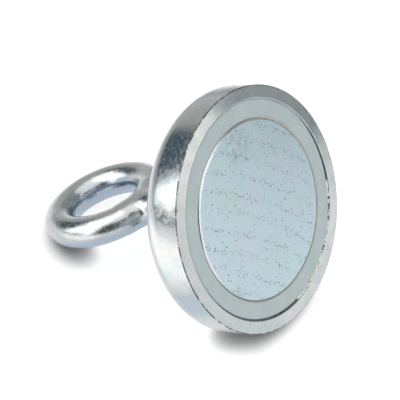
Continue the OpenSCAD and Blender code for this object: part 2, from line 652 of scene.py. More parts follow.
@dataclass(frozen=True)
class MagnetPlating(Finish):
    """Satin plating on the magnet, with rows of fine pits and two stained patches."""

    colour: Colour = (0.482, 0.60, 0.645)
    lilac: Colour = (0.512, 0.58, 0.65)
    lilac_scale: float = 0.085
    lilac_band: Point = (0.45, 0.7)
    green: Colour = (0.482, 0.586, 0.602)
    green_scale: float = 0.07
    green_shift: Place = (31.0, 7.0, 0.0)
    green_band: Point = (0.5, 0.72)
    # painted highlight on the bevel, turning to painted shade towards the lower side
    bevel_highlight: Colour = (0.66, 0.70, 0.72)
    bevel_low_shade: Colour = (0.44, 0.52, 0.55)
    bevel_low_shade_band: Point = (3.0, 13.0)
    bevel_w: float = 0.9
    bevel_soft: float = 0.36
    bevel_gloss: float = 0.5
    smear: Colour = (0.58, 0.595, 0.56)
    smear_way: Point = (1.0, 0.5)
    smear_band: Point = (-4.0, 14.0)
    smear_dull: float = 0.85
    stain: Colour = (0.30, 0.36, 0.345)
    stain_scale: float = 0.55
    stain_band: Point = (0.38, 0.62)
    stain_share: float = 0.45
    patch: Place = (1.2, -21.5, 0.2)
    patch_band: Point = (2.0, 8.5)
    dirt: Place = (-20.8, 15.6, 0.2)
    dirt_band: Point = (0.5, 4.5)
    dirt_share: float = 0.7
    row_way: Point = (0.70, 0.71)
    row_gap: float = 5.6
    row_bow: float = 0.004
    row_drift: float = 3.0
    row_drift_scale: float = 0.12
    row_band: Point = (0.2, 0.95)
    pit: Colour = (0.035, 0.06, 0.075)
    pit_scale: float = 1.35
    pit_r: float = 0.13
    pit_r_spread: float = 0.19
    pit_core: float = 0.55
    pit_chance: float = 0.1
    pit_chance_row: float = 0.58
    pit_chance_stain: float = 0.3
    pit_chance_band: Point = (0.0, 0.02)
    pit_dark: float = 0.55
    pit_dark_spread: float = 0.4
    pit_depth: float = 0.05
    pit_roughness: float = 0.2
    face_band: Point = (0.05, 0.2)
    roughness: float = 0.40
    roughness_spread: float = 0.1
    grain: float = 0.012
    grain_scale: float = 2.6

    def dress(self, sheet: NodeSheet, place: AxisPlace) -> Coat:
        """Makes soft tints, a painted highlight on the bevel that turns to painted shade lower down and is
        smeared on one side, stains, pits and fine grain.

        Args:
            sheet: The material's sheet.
            place: The point on the axis.

        Returns:
            The coat.
        """
        past = place.radius - (LAYOUT.magnet_r / MM - self.bevel_w)
        bevel_highlight = past.rising(0.0, self.bevel_soft)
        aside = self.smear_way[0] * place.across + self.smear_way[1] * place.fall
        smear = past.rising(0.0, self.bevel_w) * aside.rising(*self.smear_band)
        stained = self.stains(sheet, place)
        pits, darkness = self.pits(sheet, place, stained)
        grain = sheet.noise(place.point, self.grain_scale, Cloud.FINE)
        # painted highlight on the bevel, with painted shade lower down
        lower = place.fall.rising(*self.bevel_low_shade_band)
        bright = sheet.blend(lower, self.bevel_highlight, self.bevel_low_shade)
        colour = sheet.blend(bevel_highlight, self.tints(sheet, place), bright)
        colour = sheet.blend(smear, colour, self.smear)
        colour = sheet.blend(stained * self.stain_share, colour, self.stain)
        colour = sheet.blend(pits * darkness, colour, self.pit)
        gloss = self.roughness + self.roughness_spread * grain + self.pit_roughness * pits
        gloss = gloss * (1.0 - self.bevel_gloss * bevel_highlight)
        height = self.grain * grain - self.pit_depth * pits
        return Coat(colour, gloss, height, 1.0 - self.smear_dull * smear)

    def tints(self, sheet: NodeSheet, place: AxisPlace) -> Wire:
        """Makes the soft lilac and green tints.

        Args:
            sheet: The material's sheet.
            place: The point on the axis.

        Returns:
            The tinted colour.
        """
        lilac = sheet.noise(place.point, self.lilac_scale, Cloud.SOFT)
        shifted = sheet.vector("ADD", place.point, self.green_shift)
        green = sheet.noise(shifted, self.green_scale, Cloud.SOFT)
        colour = sheet.blend(lilac.rising(*self.lilac_band), self.colour, self.lilac)
        return sheet.blend(green.rising(*self.green_band), colour, self.green)

    def stains(self, sheet: NodeSheet, place: AxisPlace) -> Wire:
        """Finds the stained patch near the top and the dirt at the lower left.

        Args:
            sheet: The material's sheet.
            place: The point on the axis.

        Returns:
            1 in a stain, 0 away from it.
        """
        patch = sheet.distance(place.point, self.patch).falling(*self.patch_band)
        dirt = self.dirt_share * sheet.distance(place.point, self.dirt).falling(*self.dirt_band)
        clouds = sheet.noise(place.point, self.stain_scale, Cloud.FINE)
        return patch.at_least(dirt) * clouds.rising(*self.stain_band)

    def row_distance(self, sheet: NodeSheet, place: AxisPlace) -> Wire:
        """Measures how far a point lies from the nearest bowed row of pits.

        Args:
            sheet: The material's sheet.
            place: The point on the axis.

        Returns:
            The distance.
        """
        run = self.row_way[0] * place.across + self.row_way[1] * place.fall
        step = self.row_way[1] * place.across - self.row_way[0] * place.fall
        drift = sheet.noise(place.point, self.row_drift_scale, Cloud.SMOOTH) - 0.5
        row = (step + self.row_bow * run * run + self.row_drift * drift) / self.row_gap
        return abs(row.fraction() - 0.5) * self.row_gap

    def pits(self, sheet: NodeSheet, place: AxisPlace, stained: Wire) -> tuple[Wire, Wire]:
        """Scatters pits on the face, most of them along the rows and in the stains.

        Args:
            sheet: The material's sheet.
            place: The point on the axis.
            stained: 1 in a stain, 0 away from it.

        Returns:
            1 in a pit and 0 away from it, and how dark each pit is.
        """
        settings = {"voronoi_dimensions": "2D", "feature": "F1"}
        sockets = {"Vector": place.point, "Scale": self.pit_scale, "Randomness": 1.0}
        cells = sheet.node("ShaderNodeTexVoronoi", settings, sockets)
        gap = Wire(sheet, cells.outputs["Distance"]) / self.pit_scale
        size, chance, shade = sheet.parts(Wire(sheet, cells.outputs["Color"]))
        in_row = self.row_distance(sheet, place).falling(*self.row_band)
        wanted = self.pit_chance + self.pit_chance_row * in_row + self.pit_chance_stain * stained
        reach = self.pit_r + self.pit_r_spread * size * size
        found = gap.falling(reach * self.pit_core, reach) * (wanted - chance).rising(*self.pit_chance_band)
        face = (place.along - LAYOUT.magnet_recess / MM).falling(*self.face_band)
        return found * face, self.pit_dark + self.pit_dark_spread * shade


@dataclass(frozen=True)
class SpacerMoulding(Finish):
    """Smooth grey moulding with faint clouds and a few dust marks."""

    colour: Colour = (0.415, 0.482, 0.494)
    shade: Colour = (0.382, 0.454, 0.466)
    shade_scale: float = 0.12
    shade_band: Point = (0.35, 0.7)
    dust: Colour = (0.60, 0.66, 0.65)
    dust_scale: float = 2.2
    dust_band: Point = (0.68, 0.8)
    dust_share: float = 0.25
    roughness: float = 0.38
    roughness_spread: float = 0.12
    lumps: float = 0.006
    lump_scale: float = 1.2

    def dress(self, sheet: NodeSheet, place: AxisPlace) -> Coat:
        """Makes clouds, dust and a soft bump.

        Args:
            sheet: The material's sheet.
            place: The point on the axis.

        Returns:
            The coat.
        """
        clouds = sheet.noise(place.point, self.shade_scale, Cloud.FINE)
        dust = sheet.noise(place.point, self.dust_scale).rising(*self.dust_band)
        colour = sheet.blend(clouds.rising(*self.shade_band), self.colour, self.shade)
        colour = sheet.blend(dust * self.dust_share, colour, self.dust)
        height = self.lumps * sheet.noise(place.point, self.lump_scale)
        return Coat(colour, self.roughness + self.roughness_spread * clouds, height)


@dataclass(frozen=True)
class CuredFiller(Finish):
    """Cured sealant or resin: cloudy colour and an uneven, half-gloss skin."""

    colour: Colour
    shade: Colour
    roughness: float = 0.5
    roughness_spread: float = 0.2
    shade_scale: float = 0.8
    shade_band: Point = (0.3, 0.7)
    lumps: float = 0.05
    lump_scale: float = 2.0

    def dress(self, sheet: NodeSheet, place: AxisPlace) -> Coat:
        """Makes cloudy colour and lumps.

        Args:
            sheet: The material's sheet.
            place: The point on the axis.

        Returns:
            The coat.
        """
        clouds = sheet.noise(place.point, self.shade_scale, Cloud.FINE)
        gloss = self.roughness + self.roughness_spread * (clouds - 0.5)
        height = self.lumps * sheet.noise(place.point, self.lump_scale)
        return Coat(self.tone(sheet, place, clouds), gloss, height)

    def tone(self, sheet: NodeSheet, place: AxisPlace, clouds: Wire) -> Wire:
        """The cloudy colour."""
        return sheet.blend(clouds.rising(*self.shade_band), self.colour, self.shade)


@dataclass(frozen=True)
class SealantFill(CuredFiller):
    """Dark sealant, with pale filler over it on one side of the pot."""

    pale: Colour = (0.41, 0.46, 0.465)
    pale_way: Point = (-0.34, -0.94)
    pale_band: Point = (-0.2, 0.15)
    pale_sway: float = 0.3

    def tone(self, sheet: NodeSheet, place: AxisPlace, clouds: Wire) -> Wire:
        """The cloudy colour, pale on the side that the filler covers.

        Args:
            sheet: The material's sheet.
            place: The point on the axis.
            clouds: The filler's cloudy value.

        Returns:
            The colour.
        """
        reach = (self.pale_way[0] * place.across + self.pale_way[1] * place.fall) / place.radius
        share = (reach + self.pale_sway * (clouds - 0.5)).rising(*self.pale_band)
        return sheet.blend(share, super().tone(sheet, place, clouds), self.pale)


class Outline:
    """A closed section of a turned piece, as corners that may be rounded."""

    def __init__(self) -> None:
        """Starts with no corners."""
        self.corners: list[tuple[Vector, float, int]] = []

    def corner(self, radius: float, along: float, fillet: float = 0.0, steps: int = 4) -> None:
        """Adds a corner.

        Args:
            radius: Distance from the axis.
            along: Place along the axis.
            fillet: Radius of the corner's rounding.
            steps: Edges in the rounding.
        """
        self.corners.append((Vector((radius, along)), fillet, steps))

    def points(self) -> list[Point]:
        """Works the roundings out.

        Returns:
            The section's points in order.
        """
        made: list[Point] = []
        count = len(self.corners)
        for place, (here, fillet, steps) in enumerate(self.corners):
            if fillet <= 0.0:
                made.append((here.x, here.y))
                continue
            before = (self.corners[place - 1][0] - here).normalized()
            after = (self.corners[(place + 1) % count][0] - here).normalized()
            half = before.angle(after) / 2
            centre = here + (before + after).normalized() * (fillet / math.sin(half))
            first = here + before * (fillet / math.tan(half)) - centre
            last = here + after * (fillet / math.tan(half)) - centre
            sweep = first.angle_signed(last)
            for step in range(steps + 1):
                angle = -sweep * step / steps
                spoke = Matrix.Rotation(angle, 2) @ first
                made.append((centre.x + spoke.x, centre.y + spoke.y))
        return made


class Workshop:
    """Makes meshes along the magnet's axis and lays them down in the resting place."""

    SHARP = math.radians(32.0)
    POLE = 1e-9

    def spoke(self, radius: float, angle: float, along: float) -> Vector:
        """The point at a distance from the axis, an angle around it and a place along it."""
        return Vector((radius * math.cos(angle), radius * math.sin(angle), along))

    def turned(
        self,
        name: str,
        outline: Sequence[Point],
        steps: int = 288,
        warp: Callable[[Vector], Vector] | None = None,
    ) -> bpy.types.Object:
        """Turns a closed section about the axis.

        Args:
            name: The piece's name.
            outline: Points (radius, along) of the section.
            steps: Places around the axis.
            warp: Moves each point in the axis frame, for uneven pieces.

        Returns:
            The piece, at rest.
        """
        made = bmesh.new()
        rings: list[list[bmesh.types.BMVert]] = []
        for radius, along in outline:
            ring = []
            for step in range(1 if radius < self.POLE else steps):
                point = self.spoke(radius, 2 * math.pi * step / steps, along)
                ring.append(made.verts.new(warp(point) if warp else point))
            rings.append(ring)
        for first, second in zip(rings, rings[1:] + rings[:1]):
            for step in range(steps):
                corners = [first[step % len(first)], second[step % len(second)]]
                corners += [second[(step + 1) % len(second)], first[(step + 1) % len(first)]]
                unique = list(dict.fromkeys(corners))
                if len(unique) > 2:
                    made.faces.new(unique)
        return self.laid_down(name, made)

    def skinned(self, sections: Sequence[Sequence[Vector]], closed: bool) -> bmesh.types.BMesh:
        """Joins closed sections, one after the other, with four-cornered faces.

        Args:
            sections: The points of each section, as many in each.
            closed: Whether the last section joins the first; if not, both get an end face.

        Returns:
            The mesh, in the frame of its points.
        """
        made = bmesh.new()
        rows = [[made.verts.new(point) for point in section] for section in sections]
        following = rows[1:] + rows[:1] if closed else rows[1:]
        for first, second in zip(rows, following):
            for place in range(len(first)):
                after = (place + 1) % len(first)
                made.faces.new([first[place], first[after], second[after], second[place]])
        if not closed:
            made.faces.new(rows[0])
            made.faces.new(rows[-1])
        return made

    def kept(self, name: str, made: bmesh.types.BMesh) -> bpy.types.Mesh:
        """Keeps a mesh that was being made.

        Args:
            name: The mesh's name.
            made: The mesh in the making, which is freed.

        Returns:
            The finished mesh.
        """
        mesh = bpy.data.meshes.new(name)
        made.to_mesh(mesh)
        made.free()
        return mesh

    def laid_down(self, name: str, made: bmesh.types.BMesh) -> bpy.types.Object:
        """Makes an object of a mesh in the axis frame.

        Args:
            name: The piece's name.
            made: The mesh, which is freed.

        Returns:
            The piece, at rest.
        """
        bmesh.ops.recalc_face_normals(made, faces=made.faces)
        mesh = self.kept(name, made)
        mesh.transform(LAYOUT.resting)
        mesh.shade_smooth()
        mesh.set_sharp_from_angle(angle=self.SHARP)
        return self.shown(name, mesh)

    def shown(self, name: str, mesh: bpy.types.Mesh) -> bpy.types.Object:
        """Links a mesh to the scene as a new object.

        Args:
            name: The object's name.
            mesh: Its mesh.

        Returns:
            The object.
        """
        piece = bpy.data.objects.new(name, mesh)
        bpy.context.scene.collection.objects.link(piece)
        return piece

    def plain(self, piece: bpy.types.Object) -> bpy.types.Mesh:
        """Takes the result of an object's modifiers as a plain mesh, and removes the object.

        Args:
            piece: An object with modifiers.

        Returns:
            The evaluated mesh.
        """
        graph = bpy.context.evaluated_depsgraph_get()
        mesh = bpy.data.meshes.new_from_object(piece.evaluated_get(graph))
        bpy.data.objects.remove(piece)
        return mesh

    def finished(self, piece: bpy.types.Object, finish: Finish, body: Body, slot: Slot, *nodes: str) -> None:
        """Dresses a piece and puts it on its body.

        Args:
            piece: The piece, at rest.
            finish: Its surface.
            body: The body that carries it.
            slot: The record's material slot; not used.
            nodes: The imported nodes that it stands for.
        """
        piece.data.materials.clear()
        piece.data.materials.append(finish.material())
        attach(piece, body.value)
        if nodes:
            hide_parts(*nodes)
        LOG.info("%s rides on %s with %d faces", piece.name, body.value, len(piece.data.polygons))


SHOP = Workshop()


@dataclass
class PotBody:
    """The steel cup and the tapped bush in its base."""

    back_edge: float = 7.8 * MM
    rim_edge: float = 0.25 * MM
    rim_fall: float = 0.3 * MM
    ring_count: int = 14
    ring_points: int = 4
    ring_depth: float = 0.013 * MM
    edge_room: float = 1.5
    mouth_edge: float = 0.2 * MM
    spigot_r: float = 8.0 * MM
    bush_r: float = 10.0 * MM
    bush_h: float = 10.0 * MM
    bush_edge: float = 1.0 * MM
    tapped_r: float = 5.05 * MM
    tapped_edge: float = 0.6 * MM
    soft_edge: float = 0.15 * MM
    plating: Finish = PotPlating(
        "zinc on the pot",
        colour=(0.565, 0.575, 0.575),
        tint=(0.465, 0.525, 0.56),
        warm=(0.60, 0.585, 0.54),
        # painted shade: the pot's bluish darkening down the wall
        painted_shade=(0.39, 0.465, 0.52),
        painted_shade_band=(2.0, 7.0),
        roughness=0.13,
        grain=0.024,
    )
    bush_plating: Finish = ZincPlating("zinc on the bush", roughness=0.22, grain=0.02)

    def build(self) -> None:
        """Builds and dresses the cup and the bush."""
        self.build_cup()
        self.build_bush()

    def build_cup(self) -> None:
        """Turns the cup, with the fine rings that turning left on its rim."""
        hole = self.spigot_r + LAYOUT.bonded_gap
        first = LAYOUT.cavity_r + self.edge_room * self.mouth_edge
        last = LAYOUT.pot_r - self.edge_room * self.rim_edge
        section = Outline()
        section.corner(LAYOUT.cavity_r, 0.0, self.mouth_edge)
        steps = self.ring_points * self.ring_count
        for step in range(steps + 1):
            radius = first + (last - first) * step / steps
            fall = self.rim_fall * (radius - LAYOUT.cavity_r) / (LAYOUT.pot_r - LAYOUT.cavity_r)
            groove = self.ring_depth * (1 - math.cos(2 * math.pi * step / self.ring_points)) / 2
            section.corner(radius, fall + groove)
        section.corner(LAYOUT.pot_r, self.rim_fall, self.rim_edge, steps=5)
        section.corner(LAYOUT.pot_r, LAYOUT.pot_depth, self.back_edge, steps=24)
        section.corner(hole, LAYOUT.pot_depth)
        section.corner(hole, LAYOUT.cavity_depth)
        section.corner(LAYOUT.cavity_r, LAYOUT.cavity_depth)
        cup = SHOP.turned("pot_shell", section.points(), steps=360)
        SHOP.finished(cup, self.plating, Body.POT, Slot.POT, "pot_cup")

    def build_bush(self) -> None:
        """Turns the bush."""
        end = LAYOUT.pot_depth + self.bush_h
        section = Outline()
        section.corner(self.tapped_r, LAYOUT.cavity_depth)
        section.corner(self.spigot_r, LAYOUT.cavity_depth)
        section.corner(self.spigot_r, LAYOUT.pot_depth)
        section.corner(self.bush_r, LAYOUT.pot_depth)
        section.corner(self.bush_r, end - self.bush_edge, self.soft_edge)
        section.corner(self.bush_r - self.bush_edge, end, self.soft_edge)
        section.corner(self.tapped_r + self.tapped_edge, end, self.soft_edge)
        section.corner(self.tapped_r, end - self.tapped_edge)
        bush = SHOP.turned("tapped_bush", section.points(), steps=144)
        SHOP.finished(bush, self.bush_plating, Body.POT, Slot.BUSH, "threaded_bush")


class SizedTree:
    """A Geometry Nodes tree with named inputs, which makes one plain mesh in each run."""

    NAME = "tree"
    SIZES: tuple[str, ...] = ()
    COUNTS: tuple[str, ...] = ()

    def __init__(self, material: bpy.types.Material) -> None:
        """Builds the tree.

        Args:
            material: The material of what the tree makes.
        """
        self.tree = bpy.data.node_groups.new(self.NAME, "GeometryNodeTree")
        face = self.tree.interface
        kinds = {name: "NodeSocketFloat" for name in self.SIZES}
        kinds.update({name: "NodeSocketInt" for name in self.COUNTS})
        self.keys = {
            name: face.new_socket(name=name, in_out="INPUT", socket_type=kind).identifier
            for name, kind in kinds.items()
        }
        face.new_socket(name="Geometry", in_out="OUTPUT", socket_type="NodeSocketGeometry")
        sheet = NodeSheet(self.tree)
        given = sheet.node("NodeGroupInput")
        made = self.shape(sheet, {name: Wire(sheet, given.outputs[name]) for name in self.keys})
        real = sheet.wire("GeometryNodeRealizeInstances", None, {0: made})
        dressed = sheet.wire("GeometryNodeSetMaterial", None, {"Geometry": real, "Material": material})
        sheet.node("NodeGroupOutput", None, {0: dressed})

    def shape(self, sheet: NodeSheet, given: dict[str, Wire]) -> Wire:
        """Adds the nodes that make the shape; each tree has its own."""
        raise NotImplementedError

    def run(self, sizes: dict[str, float]) -> bpy.types.Mesh:
        """Runs the tree once.

        Args:
            sizes: A value for each input, by name.

        Returns:
            What the tree makes, as a plain mesh.
        """
        carrier = SHOP.shown(self.NAME, bpy.data.meshes.new(self.NAME))
        nodes = carrier.modifiers.new(self.NAME, "NODES")
        nodes.node_group = self.tree
        for name, value in sizes.items():
            nodes[self.keys[name]] = value
        return SHOP.plain(carrier)


class CrumbTree(SizedTree):
    """Scatters crumbs of glue along an arc of the gap around the spacer, in the axis frame."""

    NAME = "crumbs along an arc"
    RANGES = (("First Angle", "Last Angle"), ("Inner Radius", "Outer Radius"), ("Top", "Bottom"))
    SIZES = (*(name for pair in RANGES for name in pair), "Crumb Size")
    COUNTS = ("Count", "Seed")
    SEED_STEP = 10.0
    LAY_SEED = 4.0
    SMALLEST = (0.45, 0.45, 0.35)
    LARGEST = (1.5, 1.5, 1.0)
    NO_TURNS = (0.0, 0.0, 0.0)
    FULL_TURNS = (6.28, 6.28, 6.28)

    def shape(self, sheet: NodeSheet, given: dict[str, Wire]) -> Wire:
        """Adds the nodes that lay a crumb on each point of the arc.

        Args:
            sheet: The tree's sheet.
            given: The tree's inputs.

        Returns:
            The crumbs.
        """
        seed = given["Seed"]
        angle, radius, along = (
            self.number(sheet, given[low], given[high], seed + self.SEED_STEP * turn)
            for turn, (low, high) in enumerate(self.RANGES, 1)
        )
        spot = {0: radius * angle.math("COSINE"), 1: radius * angle.math("SINE"), 2: along}
        place = sheet.wire("ShaderNodeCombineXYZ", None, spot)
        cloud = sheet.wire("GeometryNodePoints", None, {"Count": given["Count"], "Position": place})
        ball = {"Radius": given["Crumb Size"], "Subdivisions": 2}
        laid = {
            "Points": cloud,
            "Instance": sheet.wire("GeometryNodeMeshIcoSphere", None, ball),
            "Rotation": self.vector(sheet, self.NO_TURNS, self.FULL_TURNS, seed + self.LAY_SEED),
            "Scale": self.vector(sheet, self.SMALLEST, self.LARGEST, seed),
        }
        return sheet.wire("GeometryNodeInstanceOnPoints", None, laid)

    def number(self, sheet: NodeSheet, low: Wire, high: Wire, seed: Wire) -> Wire:
        """A random number for each crumb."""
        sockets = {2: low, 3: high, 8: seed}
        return sheet.wire("FunctionNodeRandomValue", {"data_type": "FLOAT"}, sockets, 1)

    def vector(self, sheet: NodeSheet, low: Place, high: Place, seed: Wire) -> Wire:
        """A random vector for each crumb."""
        sockets = {0: low, 1: high, 8: seed}
        return sheet.wire("FunctionNodeRandomValue", {"data_type": "FLOAT_VECTOR"}, sockets)


@dataclass
class MagnetFace:
    """The magnet disc, the spacer ring around it, and what bonds and seals them."""

    edge: float = 0.9 * MM
    back: float = 9.2 * MM
    spacer_inner: float = 28.05 * MM
    spacer_outer: float = 33.0 * MM
    spacer_shift: float = 0.3 * MM
    spacer_shift_angle: float = math.radians(125.0)
    spacer_edge: float = 0.2 * MM
    sealant_top: float = 0.8 * MM
    sealant_h: float = 2.5 * MM
    sealant_lift: float = 0.45 * MM
    sealant_lift_angle: float = math.radians(-110.0)
    sealant_lift_from: float = -0.2
    sealant_lift_to: float = 0.15
    sealant_dip: float = 0.12 * MM
    sealant_sway: float = 0.09 * MM
    sealant_waves: tuple[tuple[int, float, float], ...] = ((7, 1.0, 0.4), (17, 0.6, 2.0), (31, 0.4, 0.0))
    collar_top: float = 0.7 * MM
    collar_dip: float = 0.1 * MM
    collar_lift: float = 0.4 * MM
    collar_lift_angle: float = math.radians(30.0)
    crumb_arcs: tuple[tuple[float, float, int], ...] = ((18.0, 60.0, 120), (58.0, 90.0, 210))
    crumb_seed: int = 3
    crumb_size: float = 0.26 * MM
    crumb_top: float = 0.26 * MM
    crumb_bottom: float = 0.55 * MM
    crumb_inside: float = 0.1 * MM
    crumb_outside: float = 0.2 * MM
    disc_plating: Finish = MagnetPlating("satin plating on the magnet")
    moulding: Finish = SpacerMoulding("grey spacer moulding")
    sealant: Finish = SealantFill("dark sealant", (0.20, 0.205, 0.195), (0.12, 0.12, 0.115), 0.55)
    glue: Finish = CuredFiller("pale glue", (0.92, 0.91, 0.87), (0.74, 0.71, 0.64), 0.45)
    resin: Finish = CuredFiller("cured resin", (0.60, 0.60, 0.56), (0.50, 0.50, 0.465), 0.4)

    def build(self) -> None:
        """Builds and dresses the pieces that show in the pot's mouth."""
        self.build_disc()
        self.build_spacer()
        self.build_sealant()
        self.build_crumbs()
        self.build_resin()

    def build_disc(self) -> None:
        """Turns the magnet disc."""
        section = Outline()
        section.corner(0.0, LAYOUT.magnet_recess)
        section.corner(LAYOUT.magnet_r, LAYOUT.magnet_recess, self.edge, steps=6)
        section.corner(LAYOUT.magnet_r, self.back, self.edge / 3, steps=3)
        section.corner(0.0, self.back)
        disc = SHOP.turned("magnet", section.points())
        SHOP.finished(disc, self.disc_plating, Body.POT, Slot.MAGNET, "magnet_disc")

    def build_spacer(self) -> None:
        """Turns the spacer ring."""
        section = Outline()
        section.corner(self.spacer_inner, LAYOUT.spacer_recess, self.spacer_edge)
        section.corner(self.spacer_outer, LAYOUT.spacer_recess, self.spacer_edge)
        section.corner(self.spacer_outer, LAYOUT.cavity_depth)
        section.corner(self.spacer_inner, LAYOUT.cavity_depth)
        ring = SHOP.turned("spacer", section.points(), warp=self.off_axis)
        SHOP.finished(ring, self.moulding, Body.POT, Slot.SPACER, "spacer_ring")

    def off_axis(self, point: Vector) -> Vector:
        """Shifts a point as far as the spacer lies off the pot's axis."""
        turn = self.spacer_shift_angle
        return point + self.spacer_shift * Vector((math.cos(turn), -math.sin(turn), 0.0))

    def skin_sway(self, angle: float) -> float:
        """How far the sealant's skin lies off its mean level, at an angle around the axis."""
        waves = (share * math.sin(count * angle + start) for count, share, start in self.sealant_waves)
        return self.sealant_sway * sum(waves)

    def build_sealant(self) -> None:
        """Turns the sealant band, with an uneven skin."""
        inner = self.spacer_outer + LAYOUT.bonded_gap
        outer = LAYOUT.cavity_r - LAYOUT.bonded_gap

        def uneven(point: Vector) -> Vector:
            """Fits the band to the spacer, and lifts and sinks its skin.

            Args:
                point: A point of the even band.

            Returns:
                The moved point.
            """
            angle = math.atan2(point.y, point.x)
            inside = (outer - math.hypot(point.x, point.y)) / (outer - inner)
            moved = point.lerp(self.off_axis(point), inside)
            if point.z < self.sealant_top + self.sealant_h / 2:
                full = math.cos(angle - self.sealant_lift_angle) - self.sealant_lift_from
                full = full / (self.sealant_lift_to - self.sealant_lift_from)
                moved.z += self.skin_sway(angle) - self.sealant_lift * min(max(full, 0.0), 1.0)
            return moved

        section = Outline()
        section.corner(inner, self.sealant_top)
        section.corner((inner + outer) / 2, self.sealant_top + self.sealant_dip)
        section.corner(outer, self.sealant_top)
        section.corner(outer, self.sealant_top + self.sealant_h)
        section.corner(inner, self.sealant_top + self.sealant_h)
        band = SHOP.turned("sealant", section.points(), warp=uneven)
        SHOP.finished(band, self.sealant, Body.POT, Slot.SEALANT, "sealant_band")

    def build_resin(self) -> None:
        """Turns the resin bed under the magnet, with the collar that rose in the gap around it."""
        inner = LAYOUT.magnet_r + LAYOUT.bonded_gap
        outer = self.spacer_inner - LAYOUT.bonded_gap

        def fitted(point: Vector) -> Vector:
            """Fits the collar between the magnet and the spacer, and lifts its skin on one side.

            Args:
                point: A point of the even bed.

            Returns:
                The moved point.
            """
            outside = (math.hypot(point.x, point.y) - inner) / (outer - inner)
            moved = point.lerp(self.off_axis(point), min(max(outside, 0.0), 1.0))
            if point.z < self.back:
                angle = math.atan2(point.y, point.x) - self.collar_lift_angle
                moved.z -= self.collar_lift * max(0.0, math.cos(angle))
            return moved

        section = Outline()
        section.corner(0.0, self.back + LAYOUT.bonded_gap)
        section.corner(inner, self.back + LAYOUT.bonded_gap)
        section.corner(inner, self.collar_top)
        section.corner((inner + outer) / 2, self.collar_top + self.collar_dip)
        section.corner(outer, self.collar_top)
        section.corner(outer, LAYOUT.cavity_depth - LAYOUT.bonded_gap)
        section.corner(0.0, LAYOUT.cavity_depth - LAYOUT.bonded_gap)
        bed = SHOP.turned("resin_bed", section.points(), warp=fitted)
        SHOP.finished(bed, self.resin, Body.POT, Slot.ADHESIVE, "magnet_adhesive")

    def build_crumbs(self) -> None:
        """Scatters the remains of glue in the gap."""
        tree = CrumbTree(self.glue.material())
        made = bmesh.new()
        for seed, (first, last, count) in enumerate(self.crumb_arcs, self.crumb_seed):
            crumbs = tree.run(
                {
                    "First Angle": math.radians(first),
                    "Last Angle": math.radians(last),
                    "Inner Radius": self.spacer_outer - self.crumb_inside,
                    "Outer Radius": LAYOUT.cavity_r - self.crumb_outside,
                    "Top": self.crumb_top,
                    "Bottom": self.crumb_bottom,
                    "Crumb Size": self.crumb_size,
                    "Count": count,
                    "Seed": seed,
                }
            )
            made.from_mesh(crumbs)
            bpy.data.meshes.remove(crumbs)
        remains = SHOP.laid_down("glue_remains", made)
        SHOP.finished(remains, self.glue, Body.POT, Slot.SEALANT)


